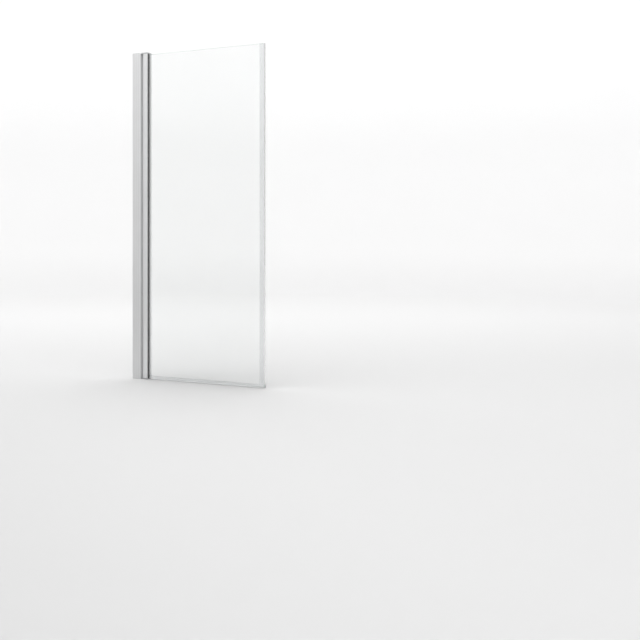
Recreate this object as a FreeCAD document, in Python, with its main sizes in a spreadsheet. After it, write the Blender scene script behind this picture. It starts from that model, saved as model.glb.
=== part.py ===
import FreeCAD, Part
import os
import Sketcher
from types import SimpleNamespace

# Hinged glass bath screen: one pane that swings on a profile set fixed to the wall.
# X runs along the screen from the wall, Y across it towards the inside of the bath, Z upwards.
# The origin lies on the wall face, on the pane's middle plane, at the height of the bath rim.

# ---------------------------------------------------------------- driving dimensions, in mm

DIMENSIONS = (
    ("overall_height", 1500, "bath rim to the top of the cover"),
    ("overall_width", 685, "wall to the free edge"),
    ("set_depth", 34, "front to back of the profile set"),
    ("channel_width", 45.5, "wall channel, wall to flange tip"),
    ("channel_web", 2.2, "wall channel, thickness against the wall"),
    ("channel_wall", 1.8, "wall channel, flange thickness"),
    ("channel_lip", 0.25, "inward lip at the flange tips"),
    ("reed_pitch", 11.5, "spacing of the drawn lines on the front flange"),
    ("reed_width", 1.2, "width of one drawn line"),
    ("reed_depth", 0.5, "depth of one drawn line"),
    ("wall_hole_radius", 2.75, "holes for the wall screws"),
    ("wall_hole_end", 60, "rim to the lowest wall hole"),
    ("wall_hole_pitch", 460, "spacing of the wall holes"),
    ("post_back", 12, "wall to the back of the hinge post"),
    ("post_front", 42, "wall to the front of the hinge post"),
    ("post_gap", 0.4, "sliding gap between post and channel"),
    ("post_wall", 1.6, "wall thickness of the hinge post"),
    ("post_chamfer", 1, "bevel of the post's front corners"),
    ("axis_offset", 66, "wall to the swing axis"),
    ("leaf_reach", 83, "wall to the mouth of the clamp profile"),
    ("clamp_wall", 1.8, "wall thickness of the clamp profile"),
    ("mouth_back", 4, "rear side of the glass pocket, from the pane's middle plane"),
    ("corner_round", 0.8, "rounding of the profile corners"),
    ("glass_thickness", 6, "toughened pane"),
    ("glass_start", 73.6, "wall to the clamped edge of the pane"),
    ("glass_top_drop", 9, "top of the cover to the top of the pane"),
    ("glass_arris", 0.15, "polished arris of the pane"),
    ("leaf_bottom", 5, "rim to the bottom of the pane"),
    ("gasket_width", 8.6, "glazing gasket, along X"),
    ("plug_head", 1.8, "height of a clamp plug's visible head"),
    ("plug_spigot", 14, "length of a clamp plug's spigots"),
    ("cover_thickness", 1.2, "plate of the top cover"),
    ("base_thickness", 1, "plate of the base cover"),
    ("bracket_thickness", 3, "plate of a pivot bracket"),
    ("bracket_spigot", 14, "length of a bracket's spigot in the post"),
    ("skirt_wall", 1.2, "wall of the covers' skirts"),
    ("pin_radius", 2.5, "pivot pin"),
    ("pin_length", 14.5, "pivot pin, from the bracket's outer face"),
    ("running_gap", 0.05, "radial clearance of pin and bush"),
    ("bush_radius", 3.6, "outside of the bush sleeve"),
    ("bush_flange", 6, "radius of the bush flange"),
    ("bush_depth", 10, "length of the bush sleeve"),
    ("port_radius", 1.7, "bore of the screw ports"),
    ("port_wall", 1.7, "wall around a screw port"),
    ("port_slit", 1.6, "slit that a screw port opens through"),
    ("spigot_size", 12.3, "a bracket's spigot, along X"),
    ("plug_tongue", 12.4, "a clamp plug's main spigot, along X"),
    ("fixing_radius", 2, "shank of a side screw"),
    ("fixing_head", 3.9, "head radius of a side screw"),
    ("fixing_head_height", 2.6, "head of a side screw"),
    ("cap_radius", 6.5, "push-on cap over a side screw"),
    ("fixing_x", 28, "wall to the side screws"),
    ("fixing_end", 80, "rim to the lowest side screw"),
    ("fixing_pitch", 670, "spacing of the side screws"),
    ("seal_gap", 0.05, "gap between the pane and the seals, gasket and tape on it"),
    ("edge_seal_cover", 23, "overlap of the free edge seal on the pane"),
    ("edge_seal_wall", 1.1, "wall of the free edge seal"),
    ("edge_seal_nose", 4, "pane edge to the outside of the free edge seal"),
    ("drip_seal_top", 16.5, "rim to the top of the drip seal"),
    ("drip_seal_start", 84.5, "wall to the start of the drip seal"),
)


class Size:
    """A length in mm that keeps how it is worked out from the driving dimensions."""

    def __init__(self, value, text):
        self.value = value
        self.text = text

    def __add__(self, other):
        other = as_size(other)
        return Size(self.value + other.value, f"({self.text} + {other.text})")

    def __sub__(self, other):
        other = as_size(other)
        return Size(self.value - other.value, f"({self.text} - {other.text})")

    def __mul__(self, other):
        other = as_size(other)
        return Size(self.value * other.value, f"({self.text} * {other.text})")

    def __truediv__(self, other):
        other = as_size(other)
        return Size(self.value / other.value, f"({self.text} / {other.text})")

    def __neg__(self):
        return Size(-self.value, f"(0 - {self.text})")

    def __rsub__(self, other):
        return as_size(other) - self

    def root(self):
        return Size(self.value**0.5, f"sqrt({self.text})")

    __radd__ = __add__
    __rmul__ = __mul__


def as_size(value):
    """A plain number as a Size, or a Size as it is."""
    return value if isinstance(value, Size) else Size(float(value), repr(float(value)))


doc = FreeCAD.newDocument("bath_screen")
sheet = doc.addObject("Spreadsheet::Sheet", "dims")
for row, (alias, value, meaning) in enumerate(DIMENSIONS, start=1):
    sheet.set(f"A{row}", meaning)
    sheet.set(f"B{row}", str(value))
    sheet.setAlias(f"B{row}", alias)
doc.recompute()
dims = SimpleNamespace(**{alias: Size(value, f"dims.{alias}") for alias, value, _ in DIMENSIONS})

# Places that several pieces share.
half = dims.set_depth / 2
axis = dims.axis_offset
post_half = half - dims.channel_wall - dims.post_gap
post_bottom = dims.base_thickness + dims.bracket_thickness
post_top = dims.overall_height - dims.cover_thickness - dims.bracket_thickness
cover_bottom = dims.overall_height - dims.cover_thickness
leaf_top = cover_bottom - dims.leaf_bottom + dims.base_thickness
middle = (dims.base_thickness + cover_bottom) / 2
clamp_bottom = dims.leaf_bottom + dims.plug_head
clamp_length = leaf_top - dims.plug_head - clamp_bottom
pane_half = dims.glass_thickness / 2
pane_top = dims.overall_height - dims.glass_top_drop
pane_end = dims.overall_width - dims.edge_seal_nose
skirt_half = half - dims.skirt_wall
pocket_floor = dims.glass_start - 1
port_outer = dims.port_radius + dims.port_wall

parts = {}

# ---------------------------------------------------------------- drawing helpers

NEAR_ZERO = 1e-9  # mm, for a corner that lies on a base axis
LEAST_CUT = 1e-3  # mm3, the least that a cut has to take away
PORT_BITE = 0.3  # how far a port's ring reaches into the wall that carries it

class Arc:
    """Between two corners of an outline: a minor arc whose centre lies left or right of the way."""

    def __init__(self, radius, side="left"):
        self.radius = as_size(radius)
        self.side = side


class Circle:
    """A whole circle as an outline of its own."""

    def __init__(self, x, y, radius):
        self.x = as_size(x)
        self.y = as_size(y)
        self.radius = as_size(radius)


def origin_feature(body, role):
    """A base plane or axis of the body, by its role."""
    return [item for item in body.Origin.OriginFeatures if item.Role == role][0]


def bound(obj, path, value):
    """Set a property of the object to a size and bind it to the size's expression."""
    obj.setExpression(path, as_size(value).text)


def arc_geometry(start, end, arc):
    """The drawn arc from start to end, always turning anticlockwise about its centre."""
    chord = end - start
    middle = (start + end) * 0.5
    rise = max(arc.radius.value**2 - (chord.Length / 2) ** 2, 0.0) ** 0.5
    left = FreeCAD.Vector(-chord.y, chord.x, 0).normalize()
    centre = middle + left * (rise if arc.side == "left" else -rise)
    first, last = (start, end) if arc.side == "left" else (end, start)
    circle = Part.Circle(centre, FreeCAD.Vector(0, 0, 1), arc.radius.value)
    return Part.ArcOfCircle(circle, circle.parameter(first), circle.parameter(last))


def hold_point(sketch, geometry, end, x, y):
    """Tie one end of a piece of geometry to a place worked out from the dimensions."""
    for kind, value, base in (("DistanceX", as_size(x), -2), ("DistanceY", as_size(y), -1)):
        if abs(value.value) < NEAR_ZERO:
            sketch.addConstraint(Sketcher.Constraint("PointOnObject", geometry, end, base))
            continue
        tie = Sketcher.Constraint(kind, -1, 1, geometry, end, value.value)
        index = sketch.addConstraint(tie)
        sketch.setExpression(f"Constraints[{index}]", value.text)


def hold_radius(sketch, geometry, radius):
    """Give an arc or circle a radius worked out from the dimensions."""
    index = sketch.addConstraint(Sketcher.Constraint("Radius", geometry, radius.value))
    sketch.setExpression(f"Constraints[{index}]", radius.text)


def draw_circle(sketch, circle):
    """Add a whole circle to the sketch."""
    centre = FreeCAD.Vector(circle.x.value, circle.y.value, 0)
    shape = Part.Circle(centre, FreeCAD.Vector(0, 0, 1), circle.radius.value)
    geometry = sketch.addGeometry(shape, False)
    hold_point(sketch, geometry, 3, circle.x, circle.y)
    hold_radius(sketch, geometry, circle.radius)


def draw_outline(sketch, outline):
    """Add a closed outline: corners as (x, y), with an Arc between two corners where it bends."""
    corners, arcs = [], {}
    for item in outline:
        if isinstance(item, Arc):
            arcs[len(corners) - 1] = item
        else:
            corners.append((as_size(item[0]), as_size(item[1])))
    points = [FreeCAD.Vector(x.value, y.value, 0) for x, y in corners]
    ends = []
    for index, start in enumerate(points):
        end = points[(index + 1) % len(points)]
        arc = arcs.get(index)
        shape = arc_geometry(start, end, arc) if arc else Part.LineSegment(start, end)
        geometry = sketch.addGeometry(shape, False)
        clockwise = arc is not None and arc.side == "right"
        ends.append((geometry, 2, 1) if clockwise else (geometry, 1, 2))
    for index, (geometry, _, last) in enumerate(ends):
        following, first, _ = ends[(index + 1) % len(ends)]
        sketch.addConstraint(Sketcher.Constraint("Coincident", geometry, last, following, first))
    for (geometry, first, _), (x, y) in zip(ends, corners):
        hold_point(sketch, geometry, first, x, y)
    for index, arc in arcs.items():
        hold_radius(sketch, ends[index][0], arc.radius)


def new_body(label):
    """A named sub-part, kept for the files written at the end."""
    body = doc.addObject("PartDesign::Body", label)
    body.Label = label
    parts[label] = body
    return body


def new_sketch(body, name, plane, outlines, offset=0):
    """A sketch on one of the body's base planes, raised along the plane's normal by offset."""
    sketch = body.newObject("Sketcher::SketchObject", f"{body.Name}_{name}")
    sketch.AttachmentSupport = [(origin_feature(body, plane), "")]
    sketch.MapMode = "FlatFace"
    bound(sketch, "AttachmentOffset.Base.z", offset)
    for outline in outlines:
        if isinstance(outline, Circle):
            draw_circle(sketch, outline)
        else:
            draw_outline(sketch, outline)
    return sketch


def pad(body, name, plane, outlines, length, offset=0):
    """Extrude outlines along the plane's normal. Inner outlines are left hollow."""
    feature = body.newObject("PartDesign::Pad", f"{body.Name}_{name}_pad")
    feature.Profile = new_sketch(body, name, plane, outlines, offset)
    bound(feature, "Length", length)
    body.Tip = feature
    doc.recompute()
    return feature


def pocket(body, name, plane, outlines, length, along_normal=True):
    """Cut outlines away over a length, and make sure that something was cut."""
    before = body.Shape.Volume
    feature = body.newObject("PartDesign::Pocket", f"{body.Name}_{name}_pocket")
    feature.Profile = new_sketch(body, name, plane, outlines)
    feature.Reversed = along_normal
    bound(feature, "Length", length)
    body.Tip = feature
    doc.recompute()
    if not feature.Shape.Volume < before - LEAST_CUT:
        raise RuntimeError(f"{feature.Name} cuts nothing")
    return feature


def revolution(body, name, plane, outline):
    """Turn a half section about the plane's vertical axis."""
    feature = body.newObject("PartDesign::Revolution", f"{body.Name}_{name}_turn")
    sketch = new_sketch(body, name, plane, [outline])
    feature.Profile = sketch
    feature.ReferenceAxis = (sketch, ["V_Axis"])
    feature.Angle = 360
    body.Tip = feature
    doc.recompute()
    return feature


def repeat(body, feature, axis_role, pitch, count):
    """Repeat a feature along one of the body's base axes."""
    pattern = body.newObject("PartDesign::LinearPattern", f"{feature.Name}_row")
    pattern.Originals = [feature]
    pattern.Direction = (origin_feature(body, axis_role), [""])
    pattern.Occurrences = count
    bound(pattern, "Length", as_size(pitch) * (count - 1))
    body.Tip = pattern
    doc.recompute()
    return pattern


def mirror_up(body, feature):
    """Repeat a feature at the other end of the screen, mirrored about the body's XY plane."""
    mirror = body.newObject("PartDesign::Mirrored", f"{feature.Name}_mirror")
    mirror.Originals = [feature]
    mirror.MirrorPlane = (origin_feature(body, "XY_Plane"), [""])
    body.Tip = mirror
    doc.recompute()


def bevel_edges(body, feature, size, chosen):
    """Bevel the edges of a feature that the test picks out."""
    names = [f"Edge{i}" for i, edge in enumerate(feature.Shape.Edges, start=1) if chosen(edge)]
    chamfer = body.newObject("PartDesign::Chamfer", f"{feature.Name}_bevel")
    chamfer.Base = (feature, names)
    bound(chamfer, "Size", size)
    body.Tip = chamfer
    doc.recompute()


def place(body, x=0, y=0, z=0, upside_down=False):
    """Put a sub-part where it belongs, turned over about X where it faces downwards."""
    if upside_down:
        body.Placement = FreeCAD.Placement(
            FreeCAD.Vector(), FreeCAD.Rotation(FreeCAD.Vector(1, 0, 0), 180)
        )
    for letter, value in (("x", x), ("y", y), ("z", z)):
        bound(body, f"Placement.Base.{letter}", value)


def rectangle(x0, y0, x1, y1):
    """The outline between two opposite corners."""
    return [(x0, y0), (x1, y0), (x1, y1), (x0, y1)]


def symmetric(half_outline, mirrored=1):
    """A whole outline from one half, whose last corner may lie on the line of symmetry.

    mirrored says which coordinate changes sign: 0 for the first, 1 for the second.
    """
    rest = list(reversed(half_outline))
    if as_size(rest[0][mirrored]).value == 0:
        rest = rest[1:]
    whole = list(half_outline)
    for item in rest:
        if not isinstance(item, Arc):
            item = (-item[0], item[1]) if mirrored == 0 else (item[0], -item[1])
        whole.append(item)
    return whole


def add_port(body, x, length):
    """A screw port on the middle plane: a bored ring that is slit on the side away from the wall."""
    slit = dims.port_slit / 2
    opening = [rectangle(x, -slit, x + port_outer + PORT_BITE, slit)]
    pad(body, "port_ring", "XY_Plane", [Circle(x, 0, port_outer)], length)
    pocket(body, "port_bore", "XY_Plane", [Circle(x, 0, dims.port_radius)], length)
    pocket(body, "port_slit", "XY_Plane", opening, length)


# ---------------------------------------------------------------- wall channel


def make_wall_channel():
    """The aluminium U section screwed to the wall, with drawn lines down its front."""
    body = new_body("wall_channel")
    tip, corner = dims.channel_width, dims.corner_round
    inner = half - dims.channel_wall
    lip = inner - dims.channel_lip
    lip_length, lip_slope = 2.0, 0.5
    half_outline = [
        (0, -half),
        (tip - corner, -half),
        Arc(corner),
        (tip, -half + corner),
        (tip, -lip),
        (tip - lip_length, -lip),
        (tip - lip_length - lip_slope, -inner),
        (dims.channel_web, -inner),
    ]
    pad(body, "section", "XY_Plane", [symmetric(half_outline)], cover_bottom)

    first_line, side = dims.reed_pitch * 0.7, dims.reed_width / 2
    groove = [
        (first_line - side, -half),
        (first_line + side, -half),
        (first_line, -half + dims.reed_depth),
    ]
    line = pocket(body, "line", "XY_Plane", [groove], cover_bottom)
    repeat(body, line, "X_Axis", dims.reed_pitch, 3)

    wall_hole = [Circle(0, dims.wall_hole_end, dims.wall_hole_radius)]
    hole = pocket(body, "wall_hole", "YZ_Plane", wall_hole, dims.channel_web)
    repeat(body, hole, "Z_Axis", dims.wall_hole_pitch, 4)

    side_hole = [Circle(dims.fixing_x, dims.fixing_end, dims.fixing_radius + SCREW_PLAY)]
    hole = pocket(body, "side_hole", "XZ_Plane", side_hole, half, along_normal=False)
    repeat(body, hole, "Z_Axis", dims.fixing_pitch, 3)


# ---------------------------------------------------------------- hinge post and its seal

SLOT_MOUTH = 1.6  # half width of the seal slot's mouth
SLOT_ROOT = 3.0  # half width of the seal slot's root
SLOT_NECK = 1.6  # depth of the mouth
SLOT_DEPTH = 4.0  # depth of the whole slot


def make_hinge_post():
    """The hollow section that slides in the channel to take up an uneven wall."""
    body = new_body("hinge_post")
    wall = dims.post_wall
    back, front = dims.post_back, dims.post_front
    shoulder = front - dims.post_chamfer
    cheek = post_half - dims.post_chamfer
    slot_floor = front - SLOT_DEPTH
    half_outline = [
        (back, -post_half),
        (shoulder, -post_half),
        (front, -cheek),
        (front, -SLOT_MOUTH),
        (front - SLOT_NECK, -SLOT_MOUTH),
        (front - SLOT_NECK, -SLOT_ROOT),
        (slot_floor, -SLOT_ROOT),
    ]
    inner = post_half - wall
    chamber_front = slot_floor - wall * 2
    beside_slot = wall + SLOT_ROOT
    chambers = [
        rectangle(back + wall, -inner, chamber_front, inner),
        rectangle(slot_floor - wall, beside_slot, front - wall, inner),
        rectangle(slot_floor - wall, -inner, front - wall, -beside_slot),
    ]
    length = post_top - post_bottom
    pad(body, "section", "XY_Plane", [symmetric(half_outline)] + chambers, length)
    add_port(body, POST_PORT, length)
    screw_hole = [Circle(dims.fixing_x, dims.fixing_end - post_bottom, dims.fixing_radius)]
    hole = pocket(body, "side_hole", "XZ_Plane", screw_hole, half, along_normal=False)
    repeat(body, hole, "Z_Axis", dims.fixing_pitch, 3)
    place(body, z=post_bottom)


def make_hinge_seal():
    """The soft hollow seal whose foot slides into the post and whose body fills the hinge gap."""
    body = new_body("hinge_seal")
    front = dims.post_front
    play, nose_gap = 0.1, 0.4
    tip = axis - half - nose_gap
    foot_front = front - SLOT_NECK
    root_half, tip_half, wall = 13.6, 4.6, 1.4
    half_outline = [
        (front - SLOT_DEPTH + play, play - SLOT_ROOT),
        (foot_front, play - SLOT_ROOT),
        (foot_front, play - SLOT_MOUTH),
        (front, play - SLOT_MOUTH),
        (front, -root_half),
        (tip, -tip_half),
    ]
    half_hollow = [
        (front + wall, wall * 2 - root_half),
        (tip - wall, wall / 2 - tip_half),
    ]
    outlines = [symmetric(half_outline), symmetric(half_hollow)]
    pad(body, "section", "XY_Plane", outlines, post_top - post_bottom)
    place(body, z=post_bottom)


# ---------------------------------------------------------------- side screws and their caps

SCREW_PLAY = 0.2  # radial clearance of a screw in a plain hole


def make_side_row(label, outline):
    """Turn an outline about a side screw's axis and repeat it up the rear flange."""
    body = new_body(label)
    turned = revolution(body, "turned", "XY_Plane", outline)
    repeat(body, turned, "Z_Axis", dims.fixing_pitch, 3)
    place(body, x=dims.fixing_x, y=half, z=dims.fixing_end)


def make_side_screws():
    """Pan head screws through the rear flange into the post."""
    shank, head, head_height = dims.fixing_radius, dims.fixing_head, dims.fixing_head_height
    length = 8.0
    outline = [
        (0, -length),
        (shank, -length),
        (shank, 0),
        (head, 0),
        (head, head_height),
        (0, head_height),
    ]
    make_side_row("fixing_screws", outline)


def make_screw_caps():
    """Domed caps that grip the heads of the side screws."""
    radius, head, head_height = dims.cap_radius, dims.fixing_head, dims.fixing_head_height
    rim, rise = 1.8, 2.2
    dome = (radius * radius + rise * rise) / (2 * rise)
    outline = [
        (head, 0),
        (radius, 0),
        (radius, rim),
        Arc(dome),
        (0, rim + rise),
        (0, head_height),
        (head, head_height),
    ]
    make_side_row("screw_caps", outline)


# ---------------------------------------------------------------- pivot brackets, pins, bushes

ARM_HALF = 15.4  # half width and end radius of a bracket's arm, inside the covers' skirts
CONE_HEAD = 3.2  # head radius of the countersunk screws
WASHER_THICKNESS = 0.4  # thrust washer
POST_PORT = dims.post_back + dims.post_wall + port_outer - PORT_BITE
CLAMP_PORT = axis - half + dims.clamp_wall + port_outer - PORT_BITE


def sink_screw(body, x, depth):
    """A screw hole through a plate or plug, with a conical seat on the outer face."""
    hole_radius = dims.port_radius + SCREW_PLAY
    pocket(body, "screw_hole", "XY_Plane", [Circle(x, 0, hole_radius)], depth)
    seat = body.newObject("PartDesign::SubtractiveCone", f"{body.Name}_screw_seat")
    seat.AttachmentSupport = [(origin_feature(body, "XY_Plane"), "")]
    seat.MapMode = "FlatFace"
    bound(seat, "AttachmentOffset.Base.x", x)
    seat.Radius1 = CONE_HEAD
    bound(seat, "Radius2", hole_radius)
    bound(seat, "Height", CONE_HEAD - hole_radius)
    body.Tip = seat
    doc.recompute()


def make_pivot_bracket(label, upside_down):
    """A cast arm whose spigot sits in the post and whose end carries a pivot pin."""
    body = new_body(label)
    plate, play, wall = dims.bracket_thickness, 0.4, 1.8
    narrow = half - dims.channel_wall - dims.channel_lip - play / 2
    back, back_inset = dims.post_back, 0.5
    step, step_gap = dims.channel_width, 0.7
    half_outline = [
        (back + back_inset, -narrow),
        (step + step_gap, -narrow),
        (step + step_gap, -ARM_HALF),
        (axis, -ARM_HALF),
        Arc(ARM_HALF),
        (axis + ARM_HALF, 0),
    ]
    pad(body, "arm", "XY_Plane", [symmetric(half_outline)], plate)

    spigot_front = dims.post_front - SLOT_DEPTH - dims.post_wall * 2 - play
    spigot_back = spigot_front - dims.spigot_size
    side = post_half - dims.post_wall - play
    spigot = [
        rectangle(spigot_back, -side, spigot_front, side),
        rectangle(spigot_back + wall, -side + wall, spigot_front - wall, side - wall),
    ]
    pad(body, "spigot", "XY_Plane", spigot, dims.bracket_spigot, offset=plate)
    pocket(body, "pin_hole", "XY_Plane", [Circle(axis, 0, dims.pin_radius)], plate)
    sink_screw(body, POST_PORT, plate)
    place(body, z=cover_bottom if upside_down else dims.base_thickness, upside_down=upside_down)


def make_end_pair(label, outline, x, end):
    """Two turned pieces on one vertical line: one rises from a height, the other mirrors it."""
    body = new_body(label)
    raised = [(across, up + end - middle) for across, up in outline]
    mirror_up(body, revolution(body, "turned", "XZ_Plane", raised))
    place(body, x=x, z=middle)


def make_pivot_pins():
    """Plain steel pins pressed into the brackets, with a bevelled lead into the bushes."""
    radius, length = dims.pin_radius, dims.pin_length
    lead = 0.6
    outline = [
        (0, 0),
        (radius, 0),
        (radius, length - lead),
        (radius - lead, length),
        (0, length),
    ]
    make_end_pair("pivot_pins", outline, axis, dims.base_thickness)


def make_cone_screws(label, x, end):
    """Countersunk self-tapping screws, one in the screw port at each end of a section."""
    shank, length = dims.port_radius, 16.0
    outline = [
        (0, 0),
        (CONE_HEAD, 0),
        (shank, CONE_HEAD - shank),
        (shank, length),
        (0, length),
    ]
    make_end_pair(label, outline, x, end)


def make_bush(label, upside_down):
    """A flanged bearing bush pressed into a clamp plug."""
    body = new_body(label)
    bore, sleeve, flange = dims.pin_radius + dims.running_gap, dims.bush_radius, dims.bush_flange
    flange_thickness = 0.5
    outline = [
        (bore, -flange_thickness),
        (flange, -flange_thickness),
        (flange, 0),
        (sleeve, 0),
        (sleeve, dims.bush_depth),
        (bore, dims.bush_depth),
    ]
    revolution(body, "bush", "XZ_Plane", outline)
    place(body, x=axis, z=leaf_top if upside_down else dims.leaf_bottom, upside_down=upside_down)


def make_thrust_washer():
    """The washer on the lower bracket that the swinging leaf turns on."""
    body = new_body("thrust_washer")
    bore = dims.pin_radius + SCREW_PLAY
    outline = rectangle(bore, 0, dims.bush_flange, WASHER_THICKNESS)
    revolution(body, "washer", "XZ_Plane", outline)
    place(body, x=axis, z=post_bottom)


# ---------------------------------------------------------------- covers at the ends

TONGUE_BACK = 3.0  # wall to the tongue that holds a cover in the channel
TONGUE_THICKNESS = 2.0
TONGUE_HALF = 12.0
TONGUE_LENGTH = 12.0
FLANGE_GAP = 0.2  # gap between the channel's flange tips and a cover's skirt


def make_top_cover():
    """The moulded cover over channel, post and leaf, with a skirt that hides the bracket."""
    body = new_body("top_cover")
    end, corner, wall = dims.leaf_reach, 2.0, dims.skirt_wall
    start = dims.channel_width + FLANGE_GAP
    inner_corner = corner - wall
    plate = [
        (0, -half),
        (end - corner, -half),
        Arc(corner),
        (end, -half + corner),
    ]
    thickness = dims.cover_thickness
    pad(body, "plate", "XY_Plane", [symmetric(plate)], thickness, offset=cover_bottom)

    skirt = [
        (end - wall, inner_corner - skirt_half),
        Arc(inner_corner, "right"),
        (end - wall - inner_corner, -skirt_half),
        (start, -skirt_half),
        (start, -half),
        (end - corner, -half),
        Arc(corner),
        (end, corner - half),
    ]
    clearance = 0.5
    skirt_length = cover_bottom - leaf_top - clearance
    skirt_bottom = leaf_top + clearance
    pad(body, "skirt", "XY_Plane", [symmetric(skirt)], skirt_length, offset=skirt_bottom)

    tongue_end = TONGUE_BACK + TONGUE_THICKNESS
    tongue = [rectangle(TONGUE_BACK, -TONGUE_HALF, tongue_end, TONGUE_HALF)]
    tongue_bottom = cover_bottom - TONGUE_LENGTH
    whole = pad(body, "tongue", "XY_Plane", tongue, TONGUE_LENGTH, offset=tongue_bottom)
    top, tolerance, bevel = dims.overall_height.value, 1e-6, 0.4

    def on_rim(edge):
        """True for the edges of the top face that are away from the wall."""
        box = edge.BoundBox
        return box.ZMin > top - tolerance and box.XMax > tolerance

    bevel_edges(body, whole, bevel, on_rim)


def make_base_cover():
    """The moulded foot under channel, bracket and leaf, which stands on the bath rim."""
    body = new_body("base_cover")
    back, play = dims.channel_web + 0.4, 0.1
    inside = half - dims.channel_wall - dims.channel_lip - play
    start = dims.channel_width + FLANGE_GAP
    plate = [
        (back, -inside),
        (start, -inside),
        (start, -half),
        (axis, -half),
        Arc(half),
        (axis + half, 0),
    ]
    thickness = dims.base_thickness
    pad(body, "plate", "XY_Plane", [symmetric(plate)], thickness)

    outer_half = [(start, -half), (axis, -half), Arc(half), (axis + half, 0)]
    inner_half = [
        (start, skirt_half),
        (axis, skirt_half),
        Arc(skirt_half, "right"),
        (axis + skirt_half, 0),
    ]
    skirt = symmetric(outer_half) + symmetric(inner_half)
    clearance = 0.4
    rise = dims.leaf_bottom - clearance - thickness
    pad(body, "skirt", "XY_Plane", [skirt], rise, offset=thickness)
    tongue_end = TONGUE_BACK + TONGUE_THICKNESS
    tongue = [rectangle(TONGUE_BACK, -TONGUE_HALF, tongue_end, TONGUE_HALF)]
    pad(body, "tongue", "XY_Plane", tongue, TONGUE_LENGTH, offset=thickness)


# ---------------------------------------------------------------- clamp profile of the leaf

RIDGE_RISE = 0.6  # ridge inside the front leg that keeps the gasket in
RIDGE_START = 1.2  # mouth to the near foot of the ridge
RIDGE_SLOPE = 0.3
RIDGE_TOP = 0.8


def ridge(end, leg):
    """The corners along the front leg's inside, from the mouth inwards over the ridge."""
    near = end - RIDGE_START
    far = near - RIDGE_SLOPE - RIDGE_TOP
    return [
        (near, leg),
        (near - RIDGE_SLOPE, leg + RIDGE_RISE),
        (far, leg + RIDGE_RISE),
        (far - RIDGE_SLOPE, leg),
    ]


def make_clamp_profile():
    """The turning section: a round nose about the swing axis and a pocket that holds the glass."""
    body = new_body("clamp_profile")
    wall, end, corner = dims.clamp_wall, dims.leaf_reach, dims.corner_round
    inner = half - wall
    web = pocket_floor - wall
    outline = [
        (axis, -half),
        (end - corner, -half),
        Arc(corner),
        (end, corner - half),
        (end, -inner),
        *ridge(end, -inner),
        (pocket_floor, -inner),
        (pocket_floor, dims.mouth_back),
        (end, dims.mouth_back),
        (end, half - corner),
        Arc(corner),
        (end - corner, half),
        (axis, half),
        Arc(half),
        (axis - half, 0),
        Arc(half),
    ]
    half_nose = [(web, inner), (axis, inner), Arc(inner), (axis - inner, 0)]
    rear_chamber = rectangle(pocket_floor, dims.mouth_back + wall, end - wall, inner)
    outlines = [outline, symmetric(half_nose), rear_chamber]
    pad(body, "section", "XY_Plane", outlines, clamp_length)
    add_port(body, CLAMP_PORT, clamp_length)
    place(body, z=clamp_bottom)


def make_clamp_plug(label, upside_down):
    """The moulded plug in the end of the clamp profile, bored for the bush.

    Its head is notched where the glazing gasket runs through to the end of the leaf.
    """
    body = new_body(label)
    end, wall, corner = dims.leaf_reach, dims.clamp_wall, dims.corner_round
    glass_play, play = 0.1, 0.4
    slot = pane_half + glass_play
    half_head = [
        (dims.glass_start - play, -slot),
        (end, -slot),
        (end, corner - half),
        Arc(corner, "right"),
        (end - corner, -half),
        (axis, -half),
        Arc(half, "right"),
        (axis - half, 0),
    ]
    pad(body, "head", "XY_Plane", [symmetric(half_head)], dims.plug_head)

    nose_end = pocket_floor - wall - play
    nose_half = half - wall - 3.2
    rear_low, rear_high = dims.mouth_back + wall + play, half - wall - play
    front_low, front_high = wall - half, -slot
    if upside_down:
        rear_low, rear_high = -rear_high, -rear_low
        front_low, front_high = -front_high, -front_low
    spigots = [
        rectangle(nose_end - dims.plug_tongue, -nose_half, nose_end, nose_half),
        rectangle(pocket_floor + play, rear_low, end - wall - play, rear_high),
    ]
    pad(body, "spigots", "XY_Plane", spigots, dims.plug_spigot, offset=dims.plug_head)
    depth = dims.plug_head + dims.plug_spigot
    pocket(body, "bush_bore", "XY_Plane", [Circle(axis, 0, dims.bush_radius)], depth)
    notch_start = end - dims.gasket_width - glass_play
    notch = [rectangle(notch_start, front_low, end, front_high)]
    pocket(body, "gasket_notch", "XY_Plane", notch, dims.plug_head)
    sink_screw(body, CLAMP_PORT, dims.plug_head)
    place(body, z=leaf_top if upside_down else dims.leaf_bottom, upside_down=upside_down)


# ---------------------------------------------------------------- glass and what holds it


def make_glass_pane():
    """The toughened pane with polished arrises."""
    body = new_body("glass_pane")
    outline = rectangle(dims.glass_start, -pane_half, pane_end, pane_half)
    height = pane_top - dims.leaf_bottom
    pane = pad(body, "pane", "XY_Plane", [outline], height, offset=dims.leaf_bottom)
    tolerance = 1e-6

    def runs_in_plane(edge):
        """True for the edges of the two large faces."""
        return edge.BoundBox.YLength < tolerance

    bevel_edges(body, pane, dims.glass_arris, runs_in_plane)


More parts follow.
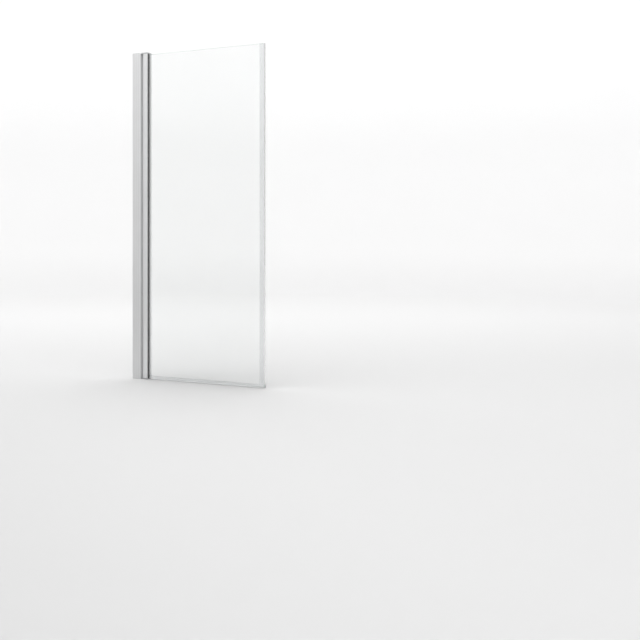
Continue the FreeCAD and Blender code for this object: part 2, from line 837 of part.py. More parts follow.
def make_glazing_gasket():
    """The hollow wedge of black rubber pushed in between the front leg and the glass.

    A small bead laps over the end of the leg.
    """
    body = new_body("glazing_gasket")
    end, face = dims.leaf_reach, -pane_half - dims.seal_gap
    leg = dims.clamp_wall - half
    lap, lap_start, lap_slope = 0.5, 0.5, 0.3
    lip_recess, lip_root = 1.0, 1.6
    sag, heel = 16.0, 0.6
    width, bevel, toe = dims.gasket_width, 2.0, 4.5
    outline = [
        (end, leg),
        (end, lap_start - half),
        (end + lap, lap_start + lap_slope - half),
        (end + lap, leg + heel),
        Arc(sag, "right"),
        (end - lip_recess, face - lip_root),
        (end - lip_recess, face),
        (end - width + bevel, face),
        (end - width, face - bevel),
        (end - width, leg + bevel),
        (end - toe, leg),
        *reversed(ridge(end, leg)),
    ]
    wall, slant = 2.0, 1.2
    left, right = end - width + wall, end - wall
    bottom, top = leg + wall + RIDGE_RISE, face - wall
    hollow = [
        (left, bottom + slant),
        (left + slant * 2, bottom),
        (right - slant, bottom),
        (right, bottom + slant),
        (right, top - slant),
        (right - slant, top),
        (left + slant, top),
        (left, top - slant),
    ]
    pad(body, "section", "XY_Plane", [outline, hollow], leaf_top - dims.leaf_bottom)
    place(body, z=dims.leaf_bottom)


def make_bedding_tape():
    """The thin tape that the glass beds on at the rear of the pocket."""
    body = new_body("bedding_tape")
    inset = 0.2
    face, end = pane_half + dims.seal_gap, dims.leaf_reach - inset
    outline = rectangle(dims.glass_start, face, end, dims.mouth_back)
    pad(body, "section", "XY_Plane", [outline], clamp_length)
    place(body, z=clamp_bottom)


def make_setting_blocks():
    """Small blocks between the pocket's floor and the edge of the glass."""
    body = new_body("setting_blocks")
    length, end_distance = 60.0, 70.0
    pitch = (clamp_length - end_distance * 2 - length) / 2
    outline = rectangle(pocket_floor, -pane_half, dims.glass_start, pane_half)
    block = pad(body, "block", "XY_Plane", [outline], length)
    repeat(body, block, "Z_Axis", pitch, 3)
    place(body, z=clamp_bottom + end_distance)


# ---------------------------------------------------------------- clear seals on the pane

def make_free_edge_seal():
    """The clear push-on profile along the free edge: two legs and a soft nose."""
    body = new_body("free_edge_seal")
    inner = pane_half + dims.seal_gap
    outer = inner + dims.edge_seal_wall
    tip = pane_end - dims.edge_seal_cover
    shoulder = pane_end + 0.5
    reach = dims.overall_width - shoulder
    nose = (outer * outer + reach * reach) / (2 * reach)
    tip_wall, tip_length = 0.5, 2.0
    half_outline = [
        (pane_end + dims.seal_gap, -inner),
        (tip, -inner),
        (tip, -inner - tip_wall),
        (tip + tip_length, -outer),
        (shoulder, -outer),
        Arc(nose),
        (dims.overall_width, 0),
    ]
    end_gap = 0.3
    bottom = dims.drip_seal_top + end_gap
    height = pane_top - bottom
    pad(body, "section", "XY_Plane", [symmetric(half_outline)], height, offset=bottom)


def make_drip_seal():
    """The clear push-on profile under the pane, with two lips that wipe the bath rim."""
    body = new_body("drip_seal")
    inner, outer = pane_half + dims.seal_gap, pane_half + 1.15
    top, web = dims.drip_seal_top, dims.leaf_bottom - dims.seal_gap
    lead_in, web_wall, lip_wall, fillet = 0.3, 0.8, 0.6, 0.4
    half_outline = [
        (-outer + lip_wall + fillet, web - web_wall),
        (-outer + lip_wall, web - web_wall - fillet),
        (-outer + lip_wall, 0),
        (-outer, 0),
        (-outer, top - lead_in),
        (-inner - lead_in, top),
        (-inner, top - lead_in),
        (-inner, web),
    ]
    length = dims.overall_width - dims.drip_seal_start
    outline = symmetric(half_outline, mirrored=0)
    pad(body, "section", "YZ_Plane", [outline], length, offset=dims.drip_seal_start)


# ---------------------------------------------------------------- the assembly

make_wall_channel()
make_hinge_post()
make_hinge_seal()
make_side_screws()
make_screw_caps()
for position, upside_down in (("lower", False), ("upper", True)):
    make_pivot_bracket(f"{position}_bracket", upside_down)
    make_clamp_plug(f"{position}_clamp_plug", upside_down)
    make_bush(f"{position}_bush", upside_down)
make_cone_screws("bracket_screws", POST_PORT, dims.base_thickness)
make_cone_screws("plug_screws", CLAMP_PORT, dims.leaf_bottom)
make_pivot_pins()
make_thrust_washer()
make_top_cover()
make_base_cover()
make_clamp_profile()
make_glass_pane()
make_glazing_gasket()
make_bedding_tape()
make_setting_blocks()
make_free_edge_seal()
make_drip_seal()

# ---------------------------------------------------------------- checks and files

doc.recompute()
for item in doc.Objects:
    if "Invalid" in item.State or "Error" in item.State:
        raise RuntimeError(f"{item.Name} failed: {item.State}")
os.makedirs("parts", exist_ok=True)
for label, part in parts.items():
    if part.Shape.isNull() or not part.Shape.isValid() or not part.Shape.Solids:
        raise RuntimeError(f"{label} has no valid solid")
for label, part in parts.items():
    part.Shape.exportStep(f"parts/{label}.step")
    box = part.Shape.BoundBox
    size = f"{box.XLength:.1f} x {box.YLength:.1f} x {box.ZLength:.1f} mm"
    print(f"{label}: {len(part.Shape.Solids)} solid(s), {size}, {part.Shape.Volume / 1000:.2f} cm3")
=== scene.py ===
import math
import bpy
import numpy as np
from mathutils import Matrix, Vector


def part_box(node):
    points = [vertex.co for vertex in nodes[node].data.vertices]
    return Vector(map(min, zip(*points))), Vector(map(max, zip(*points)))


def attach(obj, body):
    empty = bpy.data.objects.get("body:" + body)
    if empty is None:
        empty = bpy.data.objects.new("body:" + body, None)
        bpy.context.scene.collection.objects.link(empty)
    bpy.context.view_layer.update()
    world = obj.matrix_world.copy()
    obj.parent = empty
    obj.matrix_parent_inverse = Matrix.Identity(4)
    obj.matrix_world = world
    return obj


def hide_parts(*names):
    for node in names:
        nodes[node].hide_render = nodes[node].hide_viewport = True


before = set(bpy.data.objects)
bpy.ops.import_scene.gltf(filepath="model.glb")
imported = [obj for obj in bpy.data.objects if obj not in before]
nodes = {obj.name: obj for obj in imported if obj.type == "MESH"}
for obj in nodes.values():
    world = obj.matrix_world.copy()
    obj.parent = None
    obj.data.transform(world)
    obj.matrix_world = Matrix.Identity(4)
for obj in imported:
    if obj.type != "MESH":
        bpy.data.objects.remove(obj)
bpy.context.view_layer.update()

# ---------------------------------------------------------------- wall channel
# The U section that carries the whole screen: extruded aluminium with three shallow lines down
# its front, which get painted shade, then satin anodised in natural silver and sawn to length.

FIRST_LINE = 0.00805  # metres from the channel's flat back to the middle of its first line
LINE_COUNT = 3
LINE_PITCH = 0.0115
LINE_WIDTH = 0.0012
LINE_DEPTH = 0.0005
LINE_SHADE_SHARE = 0.75  # share of the metal that the painted shade in a line hides
LINE_SHADE_TONE = 0.32
SCRATCH = 0.0011  # metres across one scratch left by the die
SCRATCH_LENGTH = 0.35
SCRATCH_DEPTH = 0.00005
BLOOM = 0.06  # metres across one cloudy patch in the anodising
TONE_SPREAD = 0.04  # how far the metal's tone strays, as a share of it
FOOT_SHADE_FULL = -0.1  # height in metres at which the painted shade towards the foot would be full
FOOT_SHADE_GONE = 0.7  # height at which it ends


class Value:
    """What one socket gives. Sums and products with numbers or other Values add Math nodes."""

    def __init__(self, finish, socket):
        self.finish = finish
        self.socket = socket

    def math(self, operation, *others):
        """A Math node whose first term is this Value."""
        terms = dict(enumerate((self, *others)))
        return self.finish.node("Math", {"operation": operation}, terms)

    def ramp(self, low, high):
        """Rises smoothly from 0 where this Value is low to 1 where it is high."""
        sockets = {"Value": self, "From Min": low, "From Max": high}
        return self.finish.node("MapRange", {"interpolation_type": "SMOOTHSTEP"}, sockets)

    def __add__(self, other):
        return self.math("ADD", other)

    def __sub__(self, other):
        return self.math("SUBTRACT", other)

    def __rsub__(self, other):
        return self.math("MULTIPLY_ADD", -1, other)

    def __mul__(self, other):
        return self.math("MULTIPLY", other)

    __radd__ = __add__
    __rmul__ = __mul__


class Finish:
    """A material for one of the screen's surfaces, whose nodes read the piece's own place."""

    def __init__(self, name, **constants):
        self.material = bpy.data.materials.new(name)
        self.material.use_nodes = True
        self.tree = self.material.node_tree
        self.shader = self.tree.nodes["Principled BSDF"]
        self.set(**constants)
        self.place = self.node("TexCoord", output="Object")

    def node(self, kind, settings=None, sockets=None, output=0):
        """Add a node: first its settings, then its sockets, each a number, a colour or a Value."""
        added = self.tree.nodes.new("ShaderNode" + kind)
        for key, value in (settings or {}).items():
            setattr(added, key, value)
        for key, value in (sockets or {}).items():
            self.feed(added.inputs[key], value)
        return Value(self, added.outputs[output])

    def along(self, axis):
        """The place along the axis "X", "Y" or "Z", in metres."""
        return self.node("SeparateXYZ", None, {"Vector": self.place}, "XYZ".index(axis))

    def feed(self, socket, value):
        """Give a socket a constant, or link it."""
        if isinstance(value, Value):
            self.tree.links.new(value.socket, socket)
        else:
            socket.default_value = value

    def set(self, **inputs):
        """Give the shader its values; an underscore in a name stands for a space."""
        for key, value in inputs.items():
            self.feed(self.shader.inputs[key.replace("_", " ")], value)

    def blend(self, share, first, second):
        """A colour between two others."""
        return self.node("Mix", {"data_type": "RGBA"}, {0: share, 6: first, 7: second}, 2)

    def noise(self, size, detail=2.0, roughness=0.5):
        """Smooth noise whose grains measure size = (x, y, z) in metres."""
        scale = tuple(1 / edge for edge in size)
        spread = self.node("Mapping", None, {"Vector": self.place, "Scale": scale})
        sockets = {"Vector": spread, "Scale": 1.0, "Detail": detail, "Roughness": roughness}
        return self.node("TexNoise", None, sockets)

    def relief(self, height, depth, strength=1.0):
        """Raise and lower the surface by height times depth, in metres."""
        sockets = {"Height": height, "Distance": depth, "Strength": strength}
        self.set(Normal=self.node("Bump", None, sockets))

    def cover(self, *objects):
        """Put the material on the pieces."""
        for piece in objects:
            if piece.material_slots:
                piece.material_slots[0].material = self.material
            else:
                piece.data.materials.append(self.material)


def grey(tone):
    """A neutral grey with the slight blue of anodised aluminium."""
    return (tone, tone * 1.003, tone * 1.009, 1)


def anodised(name, scratch, scratch_length, tone, shaded_foot_tone):
    """Satin anodised extrusion: scratches along Z over clouds, in colour, gloss and relief.

    Painted shade grows towards the foot and takes a little of the brightness.
    The colour stays in the finish's skin, for a piece that adds marks of its own.
    """
    finish = Finish(name, Metallic=1.0)
    scratches = finish.noise((scratch, scratch, scratch_length), detail=3.0, roughness=0.6)
    clouds = finish.noise((BLOOM, BLOOM, BLOOM * 3))
    uneven = scratches * 0.6 + clouds * 0.4
    foot_shaded, clean = [
        finish.blend(uneven, grey(level * (1 - TONE_SPREAD)), grey(level * (1 + TONE_SPREAD)))
        for level in (shaded_foot_tone, tone)
    ]
    # painted shade: the metal's colour darkens towards the foot
    finish.skin = finish.blend(finish.along("Z").ramp(FOOT_SHADE_FULL, FOOT_SHADE_GONE), foot_shaded, clean)
    finish.set(Base_Color=finish.skin)
    finish.set(Roughness=0.27 + scratches * 0.08 + clouds * 0.06)
    finish.relief(scratches, SCRATCH_DEPTH, 0.5)
    return finish


channel_finish = anodised("satin anodised channel", SCRATCH, SCRATCH_LENGTH, 0.855, 0.705)
low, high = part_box("wall_channel")
from_back = channel_finish.along("X")
from_line = (from_back - FIRST_LINE).math("PINGPONG", LINE_PITCH / 2)
among_lines = from_back.math("LESS_THAN", FIRST_LINE + LINE_PITCH * (LINE_COUNT - 0.5))
on_front = channel_finish.along("Y").math("LESS_THAN", low.y + LINE_DEPTH * 1.5)
clear_of_line = from_line.ramp(LINE_WIDTH * 0.25, LINE_WIDTH * 0.6)
in_line = (1 - clear_of_line) * among_lines * on_front
# painted shade in the three lines down the front, darker than the metal round them
line_shaded = channel_finish.blend(in_line * LINE_SHADE_SHARE, channel_finish.skin, grey(LINE_SHADE_TONE))
channel_finish.set(Base_Color=line_shaded)
channel_finish.cover(nodes["wall_channel"])

# ---------------------------------------------------------------- hinge post
# The hollow section that slides in the channel until the screen stands upright. It is the same
# alloy and anodising from a second die, so its scratches are finer than the channel's.

post_finish = anodised("satin anodised post", 0.0007, 0.2, 0.8, 0.7)
post_finish.cover(nodes["hinge_post"])

# ---------------------------------------------------------------- hinge seal
# A soft hollow profile pulled into the post's slot, which fills the gap to the turning nose.
# It is extruded from mid grey rubber, so it keeps faint lines along its length and a dull skin.


def rubber(name, dark, light):
    """Extruded rubber: a dull skin with faint lines along Z and a fine grain."""
    finish = Finish(name, Specular_IOR_Level=0.35)
    lines = finish.noise((0.0006, 0.0006, 0.09))
    grain = finish.noise((0.0002, 0.0002, 0.0004), detail=1.0)
    finish.set(Base_Color=finish.blend(lines, dark, light))
    finish.set(Roughness=0.55 + lines * 0.2)
    finish.relief(lines * 0.7 + grain * 0.3, 0.00006)
    return finish


seal_finish = rubber("grey hinge rubber", (0.55, 0.555, 0.56, 1), (0.61, 0.615, 0.62, 1))
seal_finish.cover(nodes["hinge_seal"])

# ---------------------------------------------------------------- side screws
# Three stainless pan head screws go through the channel's rear flange into the post and
# set how far it stands out. Cold headed and thread rolled, with a cross recess for the driver.

SIDE_SHANK = 0.002
SIDE_HEAD = 0.0039
SIDE_HEAD_HEIGHT = 0.0026
SIDE_LENGTH = 0.008
SIDE_TURNS = (0.3, 1.1, 0.7)  # radians by which each recess ended up turned
THREAD_PITCH = 0.0014
THREAD_CORE = 0.76  # core of the thread as a share of its outer radius
SIDES = 64  # corners round a screw
ROWS_A_TURN = 10


def smooth_step(value, low, high):
    """Rises from 0 at low to 1 at high along a smooth S."""
    share = np.clip((value - low) / (high - low), 0, 1)
    return share * share * (3 - 2 * share)


def cross(across, up, arm, width):
    """1 inside a cross whose four arms reach arm from the middle and are width wide, 0 outside."""
    across, up = np.abs(across), np.abs(up)
    long, short = np.maximum(across, up), np.minimum(across, up)
    taper = width * (1 - 0.45 * long / arm)
    inside_arm = 1 - smooth_step(long, arm * 0.86, arm)
    return inside_arm * (1 - smooth_step(short, taper * 0.42, taper * 0.62))


def turned_screw(shank, length, head, recess):
    """Corners of a screw, rows from tip to the middle of the head by SIDES round its axis.

    The radius of the shank is its core plus a triangle wave of height over pitch less angle over
    a turn, which is the thread. The head follows its rows of radius and height, and its top sinks
    by the recess's depth times the cross of the place seen along the axis.
    """
    angle = np.linspace(0, 2 * math.pi, SIDES, endpoint=False)
    steps = int(length / THREAD_PITCH * ROWS_A_TURN)
    height = np.linspace(-length, 0, steps)[:, None]
    wave = np.abs(((height / THREAD_PITCH - angle / (2 * math.pi)) % 1) * 2 - 1)
    taper = smooth_step(height, -length, -length + THREAD_PITCH * 1.5) * 0.75 + 0.25
    runout = 1 - smooth_step(height, -THREAD_PITCH * 1.2, -THREAD_PITCH * 0.4)
    radius = shank * taper * (THREAD_CORE + (1 - THREAD_CORE) * (wave * runout + 1 - runout))
    arm, width, depth = recess
    place = np.repeat(np.linspace(0, 1, len(head))[:, None], SIDES, 1)
    head_radius = np.repeat(head[:, :1], SIDES, 1)
    head_height = np.repeat(head[:, 1:], SIDES, 1)
    sunk = cross(head_radius * np.cos(angle), head_radius * np.sin(angle), arm, width)
    on_top = (place > place[np.argmax(head[:, 0])]).astype(float)
    head_height = head_height - depth * sunk * on_top
    radius = np.vstack([radius, head_radius])
    height = np.vstack([np.repeat(height, SIDES, 1), head_height])
    return np.stack([radius * np.cos(angle), radius * np.sin(angle), height], 2)


def closed_skin(name, shells):
    """One object from shells, each a grid of corners, rows by sides by three, closed at both ends.

    Each grid's sides wrap round, and its first and last row are each closed by a fan to their mean.
    """
    corners, faces, start = [], [], 0
    for grid in shells:
        rows, sides = grid.shape[:2]
        index = np.arange(rows * sides).reshape(rows, sides) + start
        after = np.roll(index, -1, 1)
        quads = np.stack([index[:-1], after[:-1], after[1:], index[1:]], 2).reshape(-1, 4)
        first, last = start + rows * sides, start + rows * sides + 1
        bottom = np.stack([after[0], index[0], np.full(sides, first)], 1)
        top = np.stack([index[-1], after[-1], np.full(sides, last)], 1)
        faces += quads.tolist() + bottom.tolist() + top.tolist()
        corners += [grid.reshape(-1, 3), grid[0].mean(0)[None], grid[-1].mean(0)[None]]
        start = last + 1
    mesh = bpy.data.meshes.new(name)
    mesh.from_pydata(np.vstack(corners).tolist(), [], faces)
    mesh.shade_smooth()
    piece = bpy.data.objects.new(name, mesh)
    bpy.context.scene.collection.objects.link(piece)
    return piece


def head_rows(points, fineness=0.00012):
    """Rows of radius and height along a head's outline, close enough together for the recess."""
    rows = []
    for (r0, z0), (r1, z1) in zip(points, points[1:]):
        count = max(2, int(math.hypot(r1 - r0, z1 - z0) / fineness))
        rows.append(np.linspace((r0, z0), (r1, z1), count, endpoint=False))
    return np.vstack(rows)


def steel(name, tone):
    """Stainless steel, bright from rolling, with fine random scratches and small clouds."""
    finish = Finish(name, Metallic=1.0)
    clouds = finish.noise((0.002, 0.002, 0.002), detail=3.0)
    grain = finish.noise((0.00012, 0.00012, 0.00012), detail=1.0)
    dull = (tone * 0.88, tone * 0.88, tone * 0.9, 1)
    finish.set(Base_Color=finish.blend(clouds, dull, (tone, tone, tone * 1.01, 1)))
    finish.set(Roughness=0.2 + clouds * 0.16)
    finish.relief(grain, 0.000004)
    return finish


steel_finish = steel("bright stainless steel", 0.72)

low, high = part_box("fixing_screws")
side_head = head_rows([
    (SIDE_HEAD * 0.97, 0),
    (SIDE_HEAD, SIDE_HEAD_HEIGHT * 0.2),
    (SIDE_HEAD * 0.94, SIDE_HEAD_HEIGHT * 0.62),
    (SIDE_HEAD * 0.75, SIDE_HEAD_HEIGHT * 0.9),
    (SIDE_HEAD * 0.5, SIDE_HEAD_HEIGHT),
    (SIDE_HEAD * 0.02, SIDE_HEAD_HEIGHT),
])
side_recess = (SIDE_HEAD * 0.62, SIDE_HEAD * 0.3, SIDE_HEAD_HEIGHT * 0.65)
one = turned_screw(SIDE_SHANK, SIDE_LENGTH, side_head, side_recess)
side_axis_x = (low.x + high.x) / 2
side_face_y = high.y - SIDE_HEAD_HEIGHT
side_heights = np.linspace(low.z + SIDE_HEAD, high.z - SIDE_HEAD, len(SIDE_TURNS))
turned = []
for height, turn in zip(side_heights, SIDE_TURNS):
    across = one[:, :, 0] * math.cos(turn) - one[:, :, 1] * math.sin(turn)
    up = one[:, :, 0] * math.sin(turn) + one[:, :, 1] * math.cos(turn)
    turned.append(np.stack([side_axis_x - across, side_face_y + one[:, :, 2], height + up], 2))
side_screws = closed_skin("side_screws", turned)
steel_finish.cover(side_screws)
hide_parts("fixing_screws")
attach(side_screws, "wall_set")

# ---------------------------------------------------------------- screw caps
# Domed caps pushed over the heads of the side screws. Moulded in silver grey plastic with a
# fine spark eroded texture, so they are a little duller than the aluminium round them.

SILVER_GREY = (0.62, 0.63, 0.64)


def moulded(name, tone, roughness, grain):
    """Moulded plastic: pigment that flows a little, and a fine even texture from the mould."""
    finish = Finish(name, Specular_IOR_Level=0.45)
    flow = finish.noise((0.012, 0.012, 0.03), detail=3.0)
    texture = finish.noise((grain, grain, grain), detail=1.0)
    low_tone = tuple(channel * 0.94 for channel in tone) + (1,)
    finish.set(Base_Color=finish.blend(flow, low_tone, tone + (1,)))
    finish.set(Roughness=roughness - 0.05 + texture * 0.1)
    finish.relief(texture, 0.00003)
    return finish


cap_finish = moulded("silver grey moulding", SILVER_GREY, 0.42, 0.00035)
cap_finish.cover(nodes["screw_caps"])

# ---------------------------------------------------------------- pivot brackets
# Two arms of cast zinc whose hollow spigots sit in the ends of the post and whose far ends
# carry the pivot pins. Powder coated in grey, with the slight orange peel of that paint.

bracket_finish = Finish("powder coated casting", Metallic=0.0)
peel = bracket_finish.noise((0.0016, 0.0016, 0.0016), detail=1.5)
specks = bracket_finish.noise((0.00025, 0.00025, 0.00025), detail=1.0)
bracket_finish.set(
    Base_Color=bracket_finish.blend(specks, (0.36, 0.37, 0.38, 1), (0.42, 0.43, 0.44, 1)),
    Roughness=0.38 + peel * 0.14,
)
bracket_finish.relief(peel * 0.8 + specks * 0.2, 0.00008)
bracket_finish.cover(nodes["lower_bracket"], nodes["upper_bracket"])

# ---------------------------------------------------------------- bracket screws
# One countersunk self tapping screw at each end holds a bracket to the post: stainless
# steel, driven into the section's screw port until the cone sits flush.

PORT_SHANK = 0.0017
CONE_HEAD = 0.0032
PORT_LENGTH = 0.0159


def port_screws(name, node, body):
    """A pair of countersunk screws, head down at the lower end and turned over at the upper one."""
    low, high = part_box(node)
    cone = CONE_HEAD - PORT_SHANK
    outline = head_rows([
        (PORT_SHANK, -cone),
        (CONE_HEAD, -0.0001),
        (CONE_HEAD * 0.99, 0),
        (CONE_HEAD * 0.02, 0),
    ])
    recess = (CONE_HEAD * 0.6, CONE_HEAD * 0.3, cone * 0.85)
    corners = turned_screw(PORT_SHANK, PORT_LENGTH - cone, outline, recess)
    corners[: -len(outline), :, 2] -= cone
    x, y = (low.x + high.x) / 2, (low.y + high.y) / 2
    lower = np.stack([x + corners[..., 0], y - corners[..., 1], low.z - corners[..., 2]], 2)
    upper = np.stack([x + corners[..., 0], y + corners[..., 1], high.z + corners[..., 2]], 2)
    pair = closed_skin(name, [lower, upper])
    steel_finish.cover(pair)
    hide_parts(node)
    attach(pair, body)


port_screws("bracket_port_screws", "bracket_screws", "wall_set")

# ---------------------------------------------------------------- pivot pins and thrust washer
# Plain ground steel pins pressed into the brackets, and a white acetal washer on the lower
# one, so that the leaf turns on plastic and not on paint.

ACETAL_WHITE = (0.86, 0.86, 0.83)

pin_finish = steel("ground pin steel", 0.66)
pin_finish.cover(nodes["pivot_pins"])
washer_finish = moulded("white acetal washer", ACETAL_WHITE, 0.34, 0.0005)
washer_finish.cover(nodes["thrust_washer"])

# ---------------------------------------------------------------- covers
# The foot under the set and the cover over it close the ends of the profiles and hide the
# brackets. The cover is moulded in silver grey to go with the anodising, the foot in a darker one.

cover_finish = moulded("silver grey cover", SILVER_GREY, 0.36, 0.0003)
cover_finish.cover(nodes["top_cover"])
foot_finish = moulded("mid grey foot", (0.36, 0.365, 0.37), 0.42, 0.0003)
foot_finish.cover(nodes["base_cover"])

# ---------------------------------------------------------------- clamp profile
# The section that turns with the pane: a round nose about the pivot and a pocket for the
# glass. The same satin anodised aluminium as the channel, from its own die.

clamp_finish = anodised("satin anodised clamp", 0.0009, 0.3, 0.855, 0.755)
clamp_finish.cover(nodes["clamp_profile"])

# ---------------------------------------------------------------- clamp plugs and bushes
# Moulded plugs close the ends of the clamp profile and are bored for flanged white bushes,
# which run on the pins. Each plug is held by one screw in the profile's screw port.

plug_finish = moulded("silver grey plug", SILVER_GREY, 0.4, 0.0003)
plug_finish.cover(nodes["lower_clamp_plug"], nodes["upper_clamp_plug"])
bush_finish = moulded("white acetal bush", ACETAL_WHITE, 0.3, 0.0005)
bush_finish.cover(nodes["lower_bush"], nodes["upper_bush"])
port_screws("plug_port_screws", "plug_screws", "leaf")

# ---------------------------------------------------------------- glass pane
# Clear toughened float glass, 6 mm thick, with polished edges and small arrises. Iron in the
# glass takes out a little red and blue, which shows as green along the edges.

glass_finish = Finish(
    "clear toughened glass",
    Transmission_Weight=1.0,
    IOR=1.52,
)
ripple = glass_finish.noise((0.05, 0.05, 0.11), detail=1.0)
smears = glass_finish.noise((0.02, 0.02, 0.07), detail=3.0)
glass_finish.set(
    Base_Color=glass_finish.blend(smears, (0.959, 0.963, 0.962, 1), (0.967, 0.97, 0.969, 1)),
    Roughness=smears * 0.012,
)
glass_finish.relief(ripple, 0.00002, 0.4)
iron = glass_finish.node(
    "VolumeAbsorption", None, {"Color": (0.2, 0.76, 0.6, 1), "Density": 1.4}
)
low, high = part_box("glass_pane")
EDGE_DEPTH = 0.0002  # metres that the polished edges reach over the arrises
EDGE_SHARE = 0.55  # share of the light that a polished edge scatters
free_edge = glass_finish.along("X").math("GREATER_THAN", high.x - EDGE_DEPTH)
top_edge = glass_finish.along("Z").math("GREATER_THAN", high.z - EDGE_DEPTH)
bottom_edge = glass_finish.along("Z").math("LESS_THAN", low.z + EDGE_DEPTH)
polished = free_edge.math("MAXIMUM", top_edge.math("MAXIMUM", bottom_edge))
streaks = glass_finish.noise((0.004, 0.0008, 0.004))
edge_look = glass_finish.node("BsdfPrincipled", None, {
    "Base Color": glass_finish.blend(streaks, (0.5, 0.68, 0.62, 1), (0.6, 0.76, 0.7, 1)),
    "Roughness": streaks * 0.1 + 0.08,
    "IOR": 1.52,
})
glass_look = Value(glass_finish, glass_finish.shader.outputs["BSDF"])
edge_share = polished * EDGE_SHARE
both_looks = glass_finish.node("MixShader", None, {0: edge_share, 1: glass_look, 2: edge_look})
glass_output = glass_finish.tree.nodes["Material Output"]
glass_finish.feed(glass_output.inputs["Surface"], both_looks)
glass_finish.feed(glass_output.inputs["Volume"], iron)
glass_finish.cover(nodes["glass_pane"])

# ---------------------------------------------------------------- glazing gasket
# A hollow wedge of black rubber pressed in between the front leg and the glass, which holds
# the pane in the pocket and shows as a dark line down the screen.

gasket_finish = rubber("black glazing rubber", (0.12, 0.12, 0.122, 1), (0.16, 0.16, 0.162, 1))
gasket_finish.cover(nodes["glazing_gasket"])

# ---------------------------------------------------------------- bedding tape and setting blocks
# Thin pale tape behind the glass and three small blocks between its edge and the floor of
# the pocket keep glass and metal apart. Both are cut from soft closed foam.

foam_finish = Finish("pale closed foam", Specular_IOR_Level=0.3)
cells = foam_finish.noise((0.0004, 0.0004, 0.0004), detail=2.0, roughness=0.7)
foam_finish.set(
    Base_Color=foam_finish.blend(cells, (0.7, 0.705, 0.71, 1), (0.8, 0.805, 0.81, 1)),
    Roughness=0.7 + cells * 0.2,
)
foam_finish.relief(cells, 0.0001)
foam_finish.cover(nodes["bedding_tape"], nodes["setting_blocks"])

# ---------------------------------------------------------------- free edge seal and drip seal
# Clear soft profiles pushed over the edges of the pane: one with a round nose down the free
# edge, one with two lips under the pane. They are drawn from clear vinyl with a slight haze.


def vinyl(name, line_size, clearness, haze):
    """Clear vinyl: faint lines along its run, a slight haze, a tint that deepens with thickness."""
    finish = Finish(name, Transmission_Weight=1.0 - haze, IOR=1.5)
    lines = finish.noise(line_size)
    finish.set(
        Base_Color=finish.blend(lines, grey(clearness - 0.01), grey(clearness + 0.01)),
        Roughness=0.04 + lines * 0.05,
    )
    finish.relief(lines, 0.00003, 0.5)
    body = finish.node("VolumeAbsorption", None, {"Color": (0.3, 0.42, 0.4, 1), "Density": 4.0})
    finish.feed(finish.tree.nodes["Material Output"].inputs["Volume"], body)
    return finish


edge_finish = vinyl("clear vinyl upright", (0.0012, 0.0012, 0.2), 0.95, 0.03)
edge_finish.cover(nodes["free_edge_seal"])
drip_finish = vinyl("clear vinyl under the pane", (0.2, 0.0012, 0.0012), 0.985, 0.03)
drip_finish.cover(nodes["drip_seal"])

# ---------------------------------------------------------------- studio
# A pale bowl of floor and backdrop without a corner, lit from the open top, and the camera
# at the height, distance and heading found from the photograph.

FLOOR_RADIUS = 5.6
FLOOR_RINGS = 24
BOWL_BEND = 1.8  # metres, radius of the bend from the floor up
BEND_RINGS = 15
BOWL_HEIGHT = 6.0
BOWL_SIDES = 96
FLOOR_DROP = 0.0004  # metres below the foot, so that the two faces don't touch
FRONT = (-0.5, -0.866)  # from the screen towards what its metal mirrors
AWAY = (-0.416, 0.909)  # the way that the camera looks
RIGHT = (0.909, 0.416)  # to the right of that way
SKY_STRENGTH = 1.64

angle = np.linspace(0, 2 * math.pi, BOWL_SIDES, endpoint=False)
bend = np.linspace(0, math.pi / 2, BEND_RINGS + 1)[1:]
bowl_radius = np.concatenate([
    np.linspace(0.01, FLOOR_RADIUS, FLOOR_RINGS),
    FLOOR_RADIUS + BOWL_BEND * np.sin(bend),
    [FLOOR_RADIUS + BOWL_BEND],
])
bowl_height = np.concatenate([
    np.zeros(FLOOR_RINGS),
    BOWL_BEND * (1 - np.cos(bend)),
    [BOWL_HEIGHT],
]) - FLOOR_DROP
bowl = np.stack([
    np.outer(bowl_radius, np.cos(angle)),
    np.outer(bowl_radius, np.sin(angle)),
    np.repeat(bowl_height[:, None], BOWL_SIDES, 1),
], 2)
index = np.arange(len(bowl) * BOWL_SIDES).reshape(-1, BOWL_SIDES)
after = np.roll(index, -1, 1)
quads = np.stack([index[:-1], after[:-1], after[1:], index[1:]], 2).reshape(-1, 4)
middle = np.stack([after[0], index[0], np.full(BOWL_SIDES, index.size)], 1)
corners = bowl.reshape(-1, 3).tolist() + [[0, 0, -FLOOR_DROP]]
mesh = bpy.data.meshes.new("studio")
mesh.from_pydata(corners, [], quads.tolist() + middle.tolist())
mesh.shade_smooth()
studio = bpy.data.objects.new("studio", mesh)
bpy.context.scene.collection.objects.link(studio)


def paint(tone):
    """Neutral paint of one tone."""
    return (tone, tone, tone, 1)


def graded(distance, near, far, near_tone, far_tone):
    """Paint that goes smoothly from one tone to another as the distance goes from near to far."""
    return studio_finish.blend(distance.ramp(near, far), paint(near_tone), paint(far_tone))


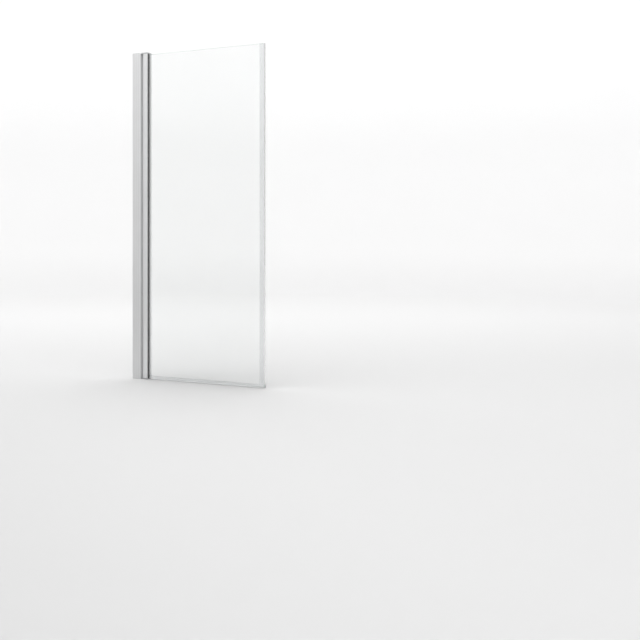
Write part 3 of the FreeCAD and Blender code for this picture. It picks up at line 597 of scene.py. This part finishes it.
# Where the paint changes is in metres from the screen or the floor, and then come its tones.
studio_finish = Finish("pale studio paint", Specular_IOR_Level=0.1)
up = studio_finish.along("Z")
in_front, behind, beside = [
    studio_finish.along("X") * way[0] + studio_finish.along("Y") * way[1]
    for way in (FRONT, AWAY, RIGHT)
]
# The grades are painted light and shade: darker on the floor and wall in front and on the side to
# the right, lighter towards the top of the walls.
back_floor = graded(behind, 0.0, 3.5, 0.65, 0.73)
floor = studio_finish.blend(in_front.ramp(0.2, 3.0), back_floor, paint(0.48))
back = graded(up, 0.0, 2.6, 0.775, 0.92)
front = graded(up, 0.0, 3.2, 0.58, 0.84)
side = graded(up, 0.0, 3.2, 0.53, 0.62)
backdrop = studio_finish.blend(in_front.ramp(4.3, 6.3), back, front)
backdrop = studio_finish.blend(beside.ramp(4.6, 5.9), backdrop, side)
patches = studio_finish.noise((1.5, 1.5, 1.5))
studio_finish.set(
    Base_Color=studio_finish.blend(up.ramp(0.0, 0.5), floor, backdrop),
    Roughness=0.85 + patches * 0.1,
)
studio_finish.cover(studio)

world = bpy.data.worlds.new("soft sky")
world.use_nodes = True
sky = world.node_tree.nodes["Background"]
sky.inputs["Color"].default_value = (1, 1, 1, 1)
sky.inputs["Strength"].default_value = SKY_STRENGTH
bpy.context.scene.world = world

FRAME_PIXELS = 640
FOCAL_PIXELS = 906.12
HORIZON_ROW = 234.75
SENSOR = 36.0  # millimetres
CAMERA_PLACE = (2.52961, -3.46244, 0.66336)
CAMERA_HEADING = 24.6  # degrees from +Y towards -X
LEVEL = 90  # degrees, with the uprights parallel in the frame
camera_data = bpy.data.cameras.new("camera")
camera_data.sensor_width = SENSOR
camera_data.lens = FOCAL_PIXELS / FRAME_PIXELS * SENSOR
camera_data.shift_y = (HORIZON_ROW - FRAME_PIXELS / 2) / FRAME_PIXELS
camera_data.clip_end = 100
camera = bpy.data.objects.new("camera", camera_data)
camera.location = CAMERA_PLACE
camera.rotation_euler = (math.radians(LEVEL), 0, math.radians(CAMERA_HEADING))
bpy.context.scene.collection.objects.link(camera)
bpy.context.scene.camera = camera
bpy.context.scene.view_settings.view_transform = "Standard"
